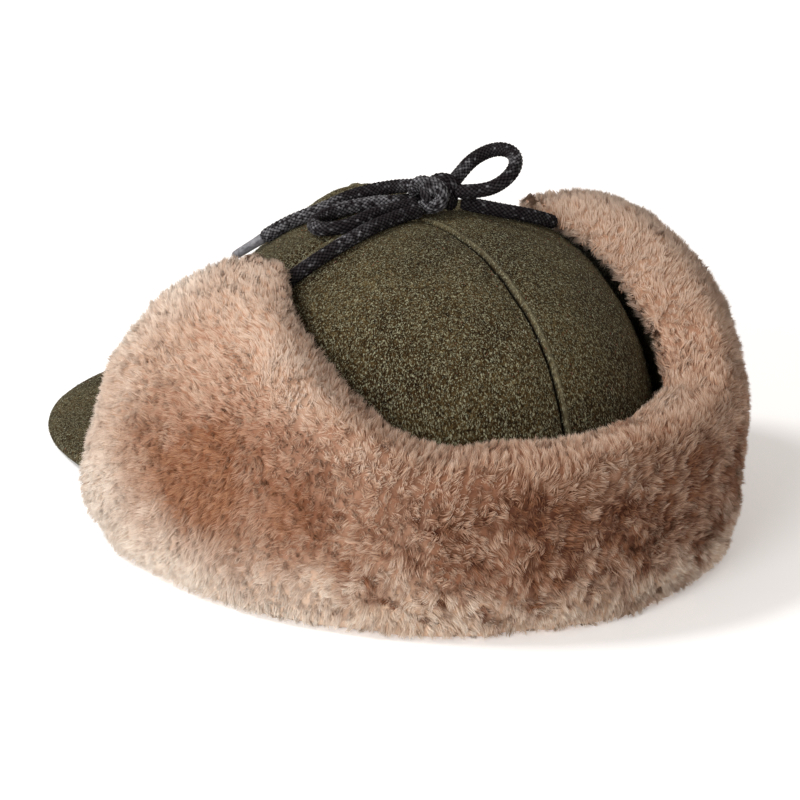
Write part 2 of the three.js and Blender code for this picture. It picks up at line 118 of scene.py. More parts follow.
# Where the middle of the head lies in the row frame, from a crown panel's inner corner
panel_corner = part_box("crown_panel_front_left")
HEAD_CENTRE = np.array([
    panel_corner[0][0] - SEAM_GAP / 2 * MM,
    panel_corner[1][1] - (CROWN_SET_BACK - SEAM_GAP / 2) * MM,
    0.0,
])


def to_row(points):
    """Millimetres about the head to metres in the row frame."""
    return np.asarray(points, float) * MM + HEAD_CENTRE


# Camera, at the photograph's angle to the cap
CAMERA_AZIMUTH = math.radians(144.9)
CAMERA_ELEVATION = math.radians(20.7)
CAMERA_DISTANCE = 1987.0
CAMERA_SHIFT_RIGHT = 0.08
CAMERA_SHIFT_UP = -16.37
CAMERA_TARGET = np.array([0.0, 0.0, 60.0])
PIXELS_PER_MM = 2.68
PHOTO_PIXELS = 800

back = np.array([
    math.sin(CAMERA_AZIMUTH) * math.cos(CAMERA_ELEVATION),
    -math.cos(CAMERA_AZIMUTH) * math.cos(CAMERA_ELEVATION),
    math.sin(CAMERA_ELEVATION),
])
right = np.array([math.cos(CAMERA_AZIMUTH), math.sin(CAMERA_AZIMUTH), 0.0])
up = np.cross(back, right)
eye = CAMERA_TARGET + CAMERA_SHIFT_RIGHT * right + CAMERA_SHIFT_UP * up + CAMERA_DISTANCE * back
bpy.ops.object.camera_add(location=to_row(eye))
camera = bpy.context.object
camera.name = "camera"
camera.rotation_mode = "QUATERNION"
camera.rotation_quaternion = Vector(-back).to_track_quat("-Z", "Y")
camera.data.sensor_width = 36
camera.data.lens = PIXELS_PER_MM * CAMERA_DISTANCE * camera.data.sensor_width / PHOTO_PIXELS
camera.data.clip_end = 20
bpy.context.scene.camera = camera


# Colours and materials
def srgb(code, alpha=1.0):
    """A hex colour as linear values."""
    channels = [int(code[i:i + 2], 16) / 255 for i in (1, 3, 5)]
    linear = [c / 12.92 if c <= 0.04045 else ((c + 0.055) / 1.055) ** 2.4 for c in channels]
    return (*linear, alpha)


def add(tree, kind, settings=None, links=None):
    """Adds a node, with its settings and what feeds its sockets."""
    node = tree.nodes.new(kind)
    for key, value in (settings or {}).items():
        if key == "stops":
            while len(node.color_ramp.elements) < len(value):
                node.color_ramp.elements.new(0.5)
            for element, (place, colour) in zip(node.color_ramp.elements, value):
                element.position = place
                element.color = srgb(colour)
        elif isinstance(key, int) or key in node.inputs:
            node.inputs[key].default_value = value
        else:
            setattr(node, key, value)
    for key, source in (links or {}).items():
        tree.links.new(source, node.inputs[key])
    return node


def new_material(name):
    made = bpy.data.materials.new(name)
    made.use_nodes = True
    made.node_tree.nodes.clear()
    return made, made.node_tree


def per_mm(size):
    """A texture's scale for features of a size in millimetres, on coordinates in metres."""
    return 1 / (size * MM)


def object_place(tree):
    return add(tree, "ShaderNodeTexCoord").outputs["Object"]


def noise_texture(tree, place, size, **settings):
    """Noise with features of a size in millimetres."""
    settings = {"Scale": per_mm(size), **settings}
    return add(tree, "ShaderNodeTexNoise", settings, {"Vector": place}).outputs["Fac"]


def ramp(tree, source, *stops):
    return add(tree, "ShaderNodeValToRGB", {"stops": stops}, {"Fac": source}).outputs["Color"]


def blend(tree, share, low, high):
    """A mix of two colours, of which the second may be a hex colour."""
    settings = {"data_type": "RGBA"}
    links = {0: share, 6: low}
    if isinstance(high, str):
        settings[7] = srgb(high)
    else:
        links[7] = high
    return add(tree, "ShaderNodeMix", settings, links).outputs[2]


def attribute(tree, name):
    return add(tree, "ShaderNodeAttribute", {"attribute_name": name}).outputs["Color"]


def channels_of(tree, name):
    """The red, green and blue of a colour attribute."""
    return add(tree, "ShaderNodeSeparateColor", links={"Color": attribute(tree, name)}).outputs


def bumped(tree, height, strength, distance):
    """Normals of a relief, its distance in millimetres."""
    settings = {"Strength": strength, "Distance": distance * MM}
    return add(tree, "ShaderNodeBump", settings, {"Height": height}).outputs["Normal"]


def surface(tree, settings, links=None):
    shader = add(tree, "ShaderNodeBsdfPrincipled", settings, links)
    add(tree, "ShaderNodeOutputMaterial", links={"Surface": shader.outputs["BSDF"]})


def melton_wool():
    """Melton, a fulled and brushed wool cloth: matte and heathered, with pale fibres lying every way."""
    made, tree = new_material("heathered_melton_wool")
    place = object_place(tree)
    cloudy = noise_texture(tree, place, 24, Detail=2)
    heather = noise_texture(tree, place, 1.5, Detail=4, Roughness=0.8, Distortion=0.8)
    ground = ramp(tree, heather, (0.34, "#120b04"), (0.46, "#2d210f"), (0.56, "#45371f"), (0.7, "#655a3e"))
    shade = ramp(tree, cloudy, (0.35, "#b3a18a"), (0.65, "#ffffff"))
    multiplied = {"data_type": "RGBA", "blend_type": "MULTIPLY", 0: 1.0}
    shaded = add(tree, "ShaderNodeMix", multiplied, {6: ground, 7: shade}).outputs[2]
    lying = None
    for turn in ((0.5, 0.3, 0.0), (2.0, 0.4, 0.9), (1.2, 1.5, 2.2), (2.6, 2.2, 0.4)):
        aim = add(tree, "ShaderNodeMapping", {"Rotation": turn, "Scale": (1, 1, 0.3)}, {"Vector": place})
        fibres = noise_texture(tree, aim.outputs["Vector"], 0.55, Detail=1, Distortion=0.4)
        if lying:
            fibres = add(tree, "ShaderNodeMath", {"operation": "MAXIMUM"}, {0: lying, 1: fibres}).outputs[0]
        lying = fibres
    limits = {"From Min": 0.62, "From Max": 0.76, "To Max": 0.9}
    pale = add(tree, "ShaderNodeMapRange", limits, {"Value": lying})
    mixed = blend(tree, pale.outputs["Result"], shaded, "#98977d")
    # Along the seams: a painted highlight on the raised welts and painted shade, near black, in the creases
    seam = channels_of(tree, "seam")
    painted_welt_highlight = blend(tree, seam["Red"], mixed, "#918b70")
    painted_crease_shade = blend(tree, seam["Green"], painted_welt_highlight, "#080502")
    surface(
        tree,
        {
            "Roughness": 0.95,
            "Specular IOR Level": 0.05,
            "Sheen Weight": 0.06,
            "Sheen Roughness": 0.6,
            "Sheen Tint": srgb("#a9a78f"),
        },
        {"Base Color": painted_crease_shade, "Normal": bumped(tree, lying, 0.7, 0.5)},
    )
    return made


def wool_fibre():
    """Loose ends of the dyed wool that stand in the nap, each in the colour of its own dye lot."""
    made, tree = new_material("dyed_wool_fibre")
    surface(tree, {"Roughness": 0.8, "Specular IOR Level": 0.2}, {"Base Color": attribute(tree, "dye")})
    return made


def sheared_pile():
    """Sheared sheepskin wool: fine, crimped, soft; darker toward its roots, partly its own colour and partly
    painted shade, with painted shade where it parts.
    """
    made, tree = new_material("sheared_sheepskin_pile")
    hair = channels_of(tree, "hair")
    # Red runs from dark to light: roots darker, partly the wool's own colour and partly painted shade, with
    # painted shade at tuft rims and in hollows
    pale = ramp(tree, hair["Red"], (0.0, "#84563c"), (0.45, "#bf997f"), (1.0, "#e3cdba"))
    brown = ramp(tree, hair["Red"], (0.0, "#4d2715"), (0.45, "#865437"), (1.0, "#b78664"))
    # Mixed in by blue: painted light, paler and creamier on the lower edge and round the left flap's front
    painted_light_cream = ramp(tree, hair["Red"], (0.0, "#cdab90"), (0.45, "#e8d2bd"), (1.0, "#fff5e8"))
    tan = blend(tree, hair["Blue"], pale, painted_light_cream)
    surface(
        tree,
        {
            "Roughness": 0.7,
            "Specular IOR Level": 0.25,
            "Sheen Weight": 0.12,
            "Sheen Roughness": 0.5,
            "Sheen Tint": srgb("#f3dccb"),
        },
        {"Base Color": blend(tree, hair["Green"], tan, brown)},
    )
    return made


def braided_cord():
    """Braided cotton cord: charcoal yarns with grey ones among them, matte, with painted shade that goes to
    black in the crevices.
    """
    made, tree = new_material("braided_cotton_cord")
    yarn = channels_of(tree, "yarn")
    fine = noise_texture(tree, object_place(tree), 0.6, Detail=2, Roughness=0.7)
    # Each ramp runs by the yarn's height in blue, from the crevices to the tops: painted shade, black in the
    # crevices
    charcoal = ramp(tree, yarn["Blue"], (0.0, "#000000"), (0.45, "#080607"), (1.0, "#2b2628"))
    grey = ramp(tree, yarn["Blue"], (0.0, "#050505"), (0.45, "#262528"), (1.0, "#8a898c"))
    limits = {"From Min": 0.35, "From Max": 0.65, "To Min": 0.55, "To Max": 1.25}
    flecked = add(tree, "ShaderNodeMapRange", limits, {"Value": fine}).outputs["Result"]
    clamped = {"operation": "MULTIPLY", "use_clamp": True}
    share = add(tree, "ShaderNodeMath", clamped, {0: yarn["Red"], 1: flecked}).outputs[0]
    surface(
        tree,
        {"Roughness": 0.9, "Specular IOR Level": 0.0},
        {"Base Color": blend(tree, share, charcoal, grey), "Normal": bumped(tree, fine, 0.5, 0.2)},
    )
    return made


def shrunk_sleeve():
    """Heat-shrunk acetate sleeve: grey, slightly glossy, scuffed."""
    made, tree = new_material("heat_shrunk_acetate")
    scuff = noise_texture(tree, object_place(tree), 1.5, Detail=4, Roughness=0.6)
    tint = ramp(tree, scuff, (0.35, "#56565b"), (0.7, "#8b8b90"))
    surface(
        tree,
        {"Roughness": 0.42, "IOR": 1.48},
        {"Base Color": tint, "Normal": bumped(tree, scuff, 0.3, 0.1)},
    )
    return made


WOOL = melton_wool()
FIBRE = wool_fibre()
PILE = sheared_pile()
CORD = braided_cord()
SLEEVE = shrunk_sleeve()


# Meshes from arrays
def mesh_object(name, points, faces, material, smooth=True):
    """A piece from points in millimetres about the head and faces of one size."""
    points = to_row(points)
    faces = np.asarray(faces, np.int32)
    mesh = bpy.data.meshes.new(name)
    mesh.vertices.add(len(points))
    mesh.vertices.foreach_set("co", points.astype(np.float32).ravel())
    corners = faces.shape[1]
    mesh.loops.add(faces.size)
    mesh.loops.foreach_set("vertex_index", faces.ravel())
    mesh.polygons.add(len(faces))
    mesh.polygons.foreach_set("loop_start", np.arange(len(faces), dtype=np.int32) * corners)
    mesh.polygons.foreach_set("use_smooth", np.full(len(faces), smooth))
    mesh.update(calc_edges=True)
    mesh.materials.append(material)
    piece = bpy.data.objects.new(name, mesh)
    bpy.context.collection.objects.link(piece)
    return piece


def point_colour(piece, name, values):
    """A colour attribute with one value for each vertex."""
    values = np.asarray(values, np.float32)
    if values.shape[1] == 3:
        values = np.hstack([values, np.ones((len(values), 1), np.float32)])
    layer = piece.data.color_attributes.new(name, "FLOAT_COLOR", "POINT")
    layer.data.foreach_set("color", values.ravel())


def grid_faces(rows, columns, wrap_columns=False, wrap_rows=False):
    """Four-sided faces of a grid of rows by columns of points."""
    row_ends = rows if wrap_rows else rows - 1
    column_ends = columns if wrap_columns else columns - 1
    row, column = np.meshgrid(np.arange(row_ends), np.arange(column_ends), indexing="ij")
    below = row * columns
    above = (row + 1) % rows * columns
    beside = (column + 1) % columns
    corners = [below + column, below + beside, above + beside, above + column]
    return np.stack([corner.ravel() for corner in corners], axis=1)


def finish_solid(piece, merge=0.02, closed=True):
    """Merges doubled points. A closed piece also has open ends closed and every face turned outward."""
    bpy.ops.object.select_all(action="DESELECT")
    piece.select_set(True)
    bpy.context.view_layer.objects.active = piece
    bpy.ops.object.mode_set(mode="EDIT")
    bpy.ops.mesh.select_all(action="SELECT")
    bpy.ops.mesh.remove_doubles(threshold=merge * MM)
    if closed:
        bpy.ops.mesh.fill_holes(sides=0)
        bpy.ops.mesh.normals_make_consistent(inside=False)
    bpy.ops.object.mode_set(mode="OBJECT")
    bpy.ops.object.select_all(action="DESELECT")


def place_on(piece, slot, *nodes):
    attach(piece, "root")
    if nodes:
        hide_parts(*nodes)


def closed_piece(name, points, material, slot, node, hair=None):
    """A piece of rings of points, closed at its ends, that stands for a node."""
    faces = grid_faces(*points.shape[:2], wrap_columns=True)
    piece = mesh_object(name, points.reshape(-1, 3), faces, material)
    if hair is not None:
        point_colour(piece, "hair", hair.reshape(-1, 3))
    finish_solid(piece)
    place_on(piece, slot, node)
    return piece


def spikes(name, points, material, smooth=True):
    """A piece of three-sided spikes, each with three points at its root and one at its tip."""
    base = np.arange(len(points))[:, None] * 4
    faces = np.concatenate([base + [0, 1, 3], base + [1, 2, 3], base + [2, 0, 3]])
    return mesh_object(name, points.reshape(-1, 3), faces, material, smooth)


# Noise, seeded so that each run is the same
NOISE_CELLS = 32


def value_noise(points, size, seed):
    """Smooth noise from -1 to 1 at points, with features of a size in millimetres."""
    lattice = np.random.default_rng(seed).uniform(-1, 1, (NOISE_CELLS,) * 3)
    scaled = np.asarray(points) / size + 100
    cell = np.floor(scaled).astype(int)
    part = scaled - cell
    part = part * part * (3 - 2 * part)
    total = 0
    for corner in range(8):
        offset = np.array([corner & 1, corner >> 1 & 1, corner >> 2 & 1])
        weight = np.prod(np.where(offset == 1, part, 1 - part), axis=-1)
        index = (cell + offset) % NOISE_CELLS
        total = total + weight * lattice[index[..., 0], index[..., 1], index[..., 2]]
    return total


def noise_vectors(points, size, seed):
    return np.stack([value_noise(points, size, seed + k) for k in range(3)], axis=-1)


def smoothstep(value, low, high):
    share = np.clip((value - low) / (high - low), 0, 1)
    return share * share * (3 - 2 * share)


def lerp(low, high, share):
    return low + (high - low) * share


def unit(vectors):
    return vectors / np.maximum(np.linalg.norm(vectors, axis=-1, keepdims=True), 1e-9)


# Crown surface
def from_front(bearing):
    turn = np.mod(bearing, 360)
    return np.minimum(turn, 360 - turn)


def backward_share(bearing):
    """From 0 at the ear flaps to 1 at the back of the head."""
    return smoothstep(from_front(bearing), 115, 150)


def crown_roundness(bearing):
    return lerp(FRONT_ROUNDNESS, SIDE_ROUNDNESS, smoothstep(from_front(bearing), 30, 110))


def half_length(bearing):
    return np.where(from_front(bearing) < 90, HALF_FRONT, HALF_BACK)


def crown_hem(bearing):
    return HEM_HEIGHT + FRONT_HEM_RISE * (1 - smoothstep(from_front(bearing), 30, 70))


def bell(distance, half_width):
    return np.exp(-((distance / half_width) ** 2))


def top_form(x, y):
    ridge = RIDGE["height"] * bell(y + RIDGE["forward"], RIDGE["depth"]) * bell(x, RIDGE["span"])
    dish = DISH["depth"] * bell(np.hypot(x, y + DISH["forward"]), DISH["radius"])
    return ridge - dish


def crown_point(bearing, climb, inset):
    """A point of the crown, climb 0 at the hem and 1 at the top."""
    power = 2 / crown_roundness(bearing)
    reach = np.cos(climb * math.pi / 2) ** power
    rise = np.sin(climb * math.pi / 2) ** power
    around = np.radians(bearing)
    seam_angle = np.abs(np.mod(bearing + 45, 90) - 45)
    seam_distance = HALF_WIDTH * reach * np.radians(seam_angle)
    within = inset + SEAM_DIP * bell(seam_distance, SEAM_DIP_WIDTH)
    x = (HALF_WIDTH - within) * reach * np.sin(around)
    y = CROWN_SET_BACK * rise - (half_length(bearing) - within) * reach * np.cos(around)
    hem = crown_hem(bearing)
    z = hem + (CROWN_HEIGHT - within - hem) * rise + top_form(x, y)
    return np.stack([x, y, z], axis=-1)


def beside_crown(bearing, height, outward):
    power = crown_roundness(bearing)
    hem = crown_hem(bearing)
    rise = np.clip((height - hem) / (CROWN_HEIGHT - hem), 0, 1)
    reach = (1 - rise ** power) ** (1 / power)
    around = np.radians(bearing)
    x = np.sin(around) * (HALF_WIDTH * reach + outward)
    y = CROWN_SET_BACK * rise - np.cos(around) * (half_length(bearing) * reach + outward)
    return np.stack([x, y, np.broadcast_to(height, x.shape)], axis=-1)


# Band surface. height, slope, bulge and roll are shares of the ear's height.
LEFT_FLAP = {
    "ear": 95, "band": 151, "height": 1, "slope": 0.01,
    "lean": 12, "depth": 1, "bulge": 0.01, "roll": 0.01,
}
RIGHT_FLAP = {
    "ear": 104, "band": 147, "height": 1.04, "slope": 0.05,
    "lean": 25, "depth": 0.98, "bulge": 0.065, "roll": 0.075,
}


def flap_value(bearing, name):
    return np.where(bearing < 180, LEFT_FLAP[name], RIGHT_FLAP[name])


def flap_at(bearing):
    away = from_front(bearing)
    ear_bearing = flap_value(bearing, "ear")
    ear = smoothstep(flap_value(bearing, "band") - away, 0, flap_value(bearing, "band") - ear_bearing)
    before = np.clip((ear_bearing - away) / SLOPE_SPAN, 0, 1.3)
    slope = flap_value(bearing, "slope") * EAR_HEIGHT * before ** 1.3
    lean = flap_value(bearing, "lean") * np.clip((LEAN_FROM - away) / (LEAN_FROM - FRONT_BEARING), 0, 1)
    return {
        "height": lerp(BAND_HEIGHT, flap_value(bearing, "height") * EAR_HEIGHT, ear) - slope,
        "flare": lerp(BAND_FLARE, EAR_FLARE, ear),
        "front_out": FRONT_FLARE * before ** 2,
        "lean": np.where(bearing < 180, lean, -lean),
        "depth": PILE_DEPTH * lerp(1, flap_value(bearing, "depth"), ear),
        "bulge": flap_value(bearing, "bulge") * EAR_HEIGHT * ear,
        "roll": lerp(BAND_ROLL, flap_value(bearing, "roll") * EAR_HEIGHT, ear),
    }


def flap_point(bearing, flap, height, outward):
    leaning = bearing + flap["lean"] * np.clip(height / EAR_HEIGHT, 0, 1)
    lift = np.clip(height / flap["height"], 0, 1) ** 1.5
    return beside_crown(leaning, height, outward + flap["flare"] * lift + flap["front_out"])


def rounded_front(bearing, span):
    """Round run-in from 0 at the front edge of each ear flap to 1 a span behind it."""
    from_end = np.clip((from_front(bearing) - FRONT_BEARING) / span, 0, 1)
    return np.sqrt(1 - (1 - from_end) ** 2)


def pile_fullness(bearing):
    return rounded_front(bearing, PILE_ROUNDING)


def band_height(bearing, flap, rise):
    bottom = lerp(PILE_FRONT_HEIGHT, -PILE_SETTLE, rounded_front(bearing, PILE_LOW_ROUNDING))
    top = flap["height"] * lerp(PILE_FRONT_TOP_SHARE, 1, pile_fullness(bearing))
    return lerp(bottom, top, (1 + rise) / 2)


def pile_point(bearing, rise, across):
    """A point of the pile's skin, across 1 on its outer face and -1 on its inner face."""
    flap = flap_at(bearing)
    fullness = pile_fullness(bearing)
    half = flap["depth"] / 2 * lerp(PILE_FRONT_DEPTH_SHARE, 1, fullness)
    rolled = flap["roll"] * smoothstep(rise, CLOTH_TOP_RISE, ROLL_FULL_RISE)
    bulged = flap["bulge"] * smoothstep(rise, *BULGE_RISES)
    swell = fullness * lerp(-rolled, bulged, smoothstep(across, -0.45, 0.45))
    start = CLOTH_GAP + CLOTH_THICKNESS + CLEARANCE
    outward = start + flap["depth"] / 2 + half * across + swell
    return flap_point(bearing, flap, band_height(bearing, flap, rise), outward)


# Laces, first among the pieces: routes as in the part's source
LACE_ROUTES = {
    "lace_left_strand": [
        (60.6, 13.4, 104.8), (54.8, 15.5, 109.1), (49.6, 17.3, 112.4), (43.6, 18.4, 115.3),
        (37.4, 18.8, 117.6), (30.6, 18.4, 119.4), (23.4, 17.6, 120.7), (16, 16.4, 121.3),
        (8.8, 15.6, 121.6), (1.6, 15.6, 121.9),
    ],
    "lace_left_loop": [
        (-0.6, 10, 122.6), (4.6, 8.2, 121.6), (9.8, 7.4, 121.3), (15.4, 7.6, 121.2),
        (21, 8.5, 120.9), (26.6, 9, 120.2), (30.9, 7.9, 119.3), (34.2, 4.9, 118.3),
        (35.9, 0.6, 117.4), (35.3, -4, 116.8), (32.5, -7.8, 116.7), (28.2, -9.9, 117.2),
        (23, -10.3, 118), (17.4, -9.4, 119), (12, -7.8, 119.6), (7, -5.2, 120.2),
        (2.4, -1.4, 120.8), (-1.8, 2.8, 121.6), (-4.9, 6.6, 122.5),
    ],
    "lace_left_end": [
        (-2.6, 6.6, 128.2), (-1.4, 1.4, 127), (0.2, -4.2, 125.4), (2.4, -9.2, 123.7),
        (5.6, -13.4, 122), (9.6, -16.2, 120.5), (14.2, -17.5, 119.2), (19, -18.3, 117.7),
        (23.6, -19.8, 116.1), (27.6, -22.5, 114.2), (30.8, -26, 111.8), (33.6, -29.6, 109),
        (35.8, -32.5, 106.5), (37.4, -34.6, 104.4),
    ],
    "lace_right_loop": [
        (-14.9, 13.2, 129.3), (-19.3, 11.9, 131.8), (-24, 10.8, 134.3), (-27.8, 11.2, 136.3),
        (-31.2, 13, 138), (-33.7, 16.5, 139.2), (-34.6, 21.1, 139.4), (-33.7, 25.6, 138.7),
        (-31.2, 29.4, 137.1), (-27.4, 31.8, 135), (-23.4, 32.2, 132.8), (-19.8, 30.8, 130.9),
        (-16.9, 28, 129.6), (-14.5, 23.7, 128.5), (-12.4, 19.3, 127.6),
    ],
    "lace_right_strand": [
        (-16.2, 16.4, 121.8), (-19.2, 19.5, 121.2), (-22.3, 22.6, 120.6), (-25.2, 25.4, 120),
        (-28.5, 27.7, 119.2), (-32.5, 29.3, 118.1), (-37, 30.1, 116.6), (-41.6, 30.4, 114.8),
        (-46.2, 30.1, 112.7), (-48.9, 29.6, 111.3),
    ],
    "lace_right_end": [
        (-12, 6.2, 124.4), (-14.5, -1, 122.4), (-17, -8.5, 120.6), (-20.5, -16, 118.2),
        (-25, -23.2, 115.1), (-30.2, -30, 110.8), (-35, -36, 105.8), (-39.5, -41.5, 100.2),
    ],
}
AGLET_AIMS = {"left": (8.5, -8, -8), "right": (-4.6, -5.6, -6.2)}
KNOT_PLACE = np.array([-7.7, 13.9, 125.7])
KNOT_BEARING = math.radians(-35)

# Greyer stretches of each lace, as shares of its length
GREY_STRETCHES = {
    "lace_left_strand": [(0.35, 0.6, 0.35)],
    "lace_left_end": [(0.0, 0.1, 0.4), (0.52, 1.0, 0.95)],
    "lace_left_loop": [(0.42, 0.5, 0.6), (0.68, 0.9, 0.95)],
    "lace_right_loop": [(0.0, 0.14, 0.45), (0.52, 0.6, 0.7)],
}


def smooth_route(route, step):
    """Points at an even step along the centripetal curve through a route."""
    given = np.array(route, float)
    ends = np.vstack([2 * given[0] - given[1], given, 2 * given[-1] - given[-2]])
    fine = []
    for k in range(len(given) - 1):
        before, start, end, after = ends[k:k + 4]
        spans = [np.linalg.norm(b - a) ** 0.5 for a, b in ((before, start), (start, end), (end, after))]
        leave = (start - before) / spans[0] - (end - before) / (spans[0] + spans[1])
        leave = (leave + (end - start) / spans[1]) * spans[1]
        arrive = (end - start) / spans[1] - (after - start) / (spans[1] + spans[2])
        arrive = (arrive + (after - end) / spans[2]) * spans[1]
        t = np.linspace(0, 1, 40, endpoint=False)[:, None]
        cubic = (2 * start - 2 * end + leave + arrive) * t ** 3
        square = (-3 * start + 3 * end - 2 * leave - arrive) * t ** 2
        fine.append(start + leave * t + square + cubic)
    fine = np.vstack([*fine, given[-1:]])
    travelled = np.concatenate([[0], np.cumsum(np.linalg.norm(np.diff(fine, axis=0), axis=1))])
    even = np.linspace(0, travelled[-1], max(3, round(travelled[-1] / step)))
    return np.stack([np.interp(even, travelled, fine[:, k]) for k in range(3)], axis=1), travelled[-1]


def frames_along(path, closed=False):
    """Two directions square to a path at each of its points, turning as little as they can."""
    following = np.roll(path, -1, 0) if closed else np.vstack([path[1:], 2 * path[-1:] - path[-2:-1]])
    previous = np.roll(path, 1, 0) if closed else np.vstack([2 * path[:1] - path[1:2], path[:-1]])
    tangents = unit(following - previous)
    side = np.cross(tangents[0], [0.0, 0.0, 1.0])
    sides = []
    for tangent in tangents:
        side = side - tangent * side.dot(tangent)
        side = side / np.linalg.norm(side)
        sides.append(side)
    sides = np.array(sides)
    return sides, np.cross(tangents, sides)


BRAID_YARNS = 10
BRAID_PITCH = 1.9
BRAID_AROUND = 36
BRAID_STEP = 0.36
BRAID_CREVICE = 0.79
BRAID_RELIEF = 0.32
LACE_SEED = 20
KNOT_SEED = 40


def tube_points(path, size, angle, sides, tops):
    """Rings of points round a path, of a size at each angle."""
    outward = (size * np.cos(angle))[..., None] * sides[:, None, :]
    return path[:, None, :] + outward + (size * np.sin(angle))[..., None] * tops[:, None, :]


def braided_tube(path, radius, greyness, seed, closed=False):
    """Points, faces and yarn colours of a braided cord along a path of even steps."""
    sides, tops = frames_along(path, closed)
    count = len(path)
    angle = np.arange(BRAID_AROUND) * 2 * math.pi / BRAID_AROUND
    travelled = np.arange(count) * np.linalg.norm(path[1] - path[0])
    around = BRAID_YARNS * angle[None, :] / (2 * math.pi)
    first = around + travelled[:, None] / BRAID_PITCH
    second = around - travelled[:, None] / BRAID_PITCH
    first_part = first - np.floor(first) - 0.5
    second_part = second - np.floor(second) - 0.5
    over = (np.floor(first) + np.floor(second)) % 2 == 0
    across = np.where(over, first_part, second_part)
    lengthwise = np.where(over, second_part, first_part)
    height = np.sqrt(np.clip(1 - (1.9 * across) ** 2, 0, 1)) * (0.5 + 0.5 * np.cos(math.pi * lengthwise))
    size = radius * (BRAID_CREVICE + BRAID_RELIEF * height)
    if not closed:
        from_end = np.minimum(travelled, travelled[-1] - travelled)
        size = size * (0.8 + 0.2 * smoothstep(from_end, 0, 1.5))[:, None]
    points = tube_points(path, size, angle, sides, tops)
    table = np.random.default_rng(seed).random((64, 64))
    cell = table[np.floor(first).astype(int) % 64, np.floor(second).astype(int) % 64]
    grey = greyness(travelled / travelled[-1])[:, None]
    mottle = np.clip(grey * (1.5 * cell - 0.1) + 0.6 * smoothstep(cell, 0.86, 1.0), 0, 1)
    # Blue keeps the yarn's height, which the cord's material turns into painted shade in the crevices
    colours = np.stack([mottle, cell, height], axis=-1).reshape(-1, 3)
    faces = grid_faces(count, BRAID_AROUND, wrap_columns=True, wrap_rows=closed)
    return points.reshape(-1, 3), faces, colours


def lace_greyness(name):
    stretches = GREY_STRETCHES.get(name, [])

    def greyness(share):
        total = np.full_like(share, 0.1)
        for start, end, most in stretches:
            rise = smoothstep(share, start - 0.06, start + 0.04)
            total = np.maximum(total, most * rise * (1 - smoothstep(share, end - 0.02, end + 0.05)))
        return total

    return greyness


def make_lace(name, seed):
    path, length = smooth_route(LACE_ROUTES[name], BRAID_STEP)
    points, faces, colours = braided_tube(path, LACE_DIAMETER / 2, lace_greyness(name), seed)
    piece = mesh_object(f"braid_{name}", points, faces, CORD)
    point_colour(piece, "yarn", colours)
    finish_solid(piece)
    place_on(piece, "lace_cord", name)
    return piece, path, length


# The knot's turns of cord, about its middle: along the bow to the wearer's left, backward and up
KNOT_RINGS = [
    {"along": 3.0, "lean": 20, "turn": 14, "grey": 0.25},
    {"along": -3.6, "lean": 12, "turn": 12, "grey": 0.05},
]
KNOT_RING_HALF_WIDTH = 3.3
KNOT_RING_HALF_HEIGHT = 3.2
KNOT_TURNS = [
    {
        "grey": 0.8,
        "route": [
            (9.4, -4.2, -0.6), (8.4, -2.8, 2.6), (6.6, -0.6, 4.6),
            (4.4, 1.6, 5.0), (2.6, 3.0, 3.4), (1.4, 2.6, 1.2),
        ],
    },
    {
        "grey": 0.95,
        "route": [
            (3.6, -1.4, 4.2), (1.8, 1.4, 4.6), (-0.4, 3.8, 3.6), (-1.3, 5.2, 1.2), (-0.4, 5.6, -1.2),
            (2.0, 4.8, -2.8), (4.8, 2.6, -3.8), (7.0, 0.0, -4.4),
        ],
    },
    {
        "grey": 0.05,
        "route": [
            (2.4, -3.4, 2.6), (0.8, -2.0, 4.8), (-1.6, -0.8, 5.6),
            (-4.2, 0.0, 5.0), (-6.0, 0.2, 2.8), (-5.6, -1.0, 0.0),
        ],
    },
]


def make_knot():
    """Turns of the cord drawn tight round the laces, the foremost one grey."""
    turned = np.array([
        [math.cos(KNOT_BEARING), -math.sin(KNOT_BEARING), 0],
        [math.sin(KNOT_BEARING), math.cos(KNOT_BEARING), 0],
        [0, 0, 1],
    ])
    coils = []
    for ring in KNOT_RINGS:
        t = np.linspace(0, 2 * math.pi, 64, endpoint=False)
        lean = math.radians(ring["lean"])
        turn = math.radians(ring["turn"])
        across = KNOT_RING_HALF_WIDTH * np.cos(t)
        rise = KNOT_RING_HALF_HEIGHT * np.sin(t)
        along = ring["along"] + rise * math.sin(lean) + across * math.sin(turn)
        local = np.stack([along, across * math.cos(turn), rise * math.cos(lean)], axis=1)
        coils.append((local, ring["grey"], True))
    for turn in KNOT_TURNS:
        coils.append((smooth_route(turn["route"], BRAID_STEP)[0], turn["grey"], False))
    all_points, all_faces, all_colours = [], [], []
    used = 0
    for number, (local, grey, closed) in enumerate(coils):
        path = local @ turned.T + KNOT_PLACE
        points, faces, colours = braided_tube(
            path, LACE_DIAMETER / 2, lambda share: np.full_like(share, grey), KNOT_SEED + number, closed
        )
        all_points.append(points)
        all_faces.append(faces + used)
        all_colours.append(colours)
        used += len(points)
    piece = mesh_object("braid_bow_knot", np.vstack(all_points), np.vstack(all_faces), CORD)
    point_colour(piece, "yarn", np.vstack(all_colours))
    finish_solid(piece, 0.001)
    place_on(piece, "lace_cord", "bow_knot")
    return piece


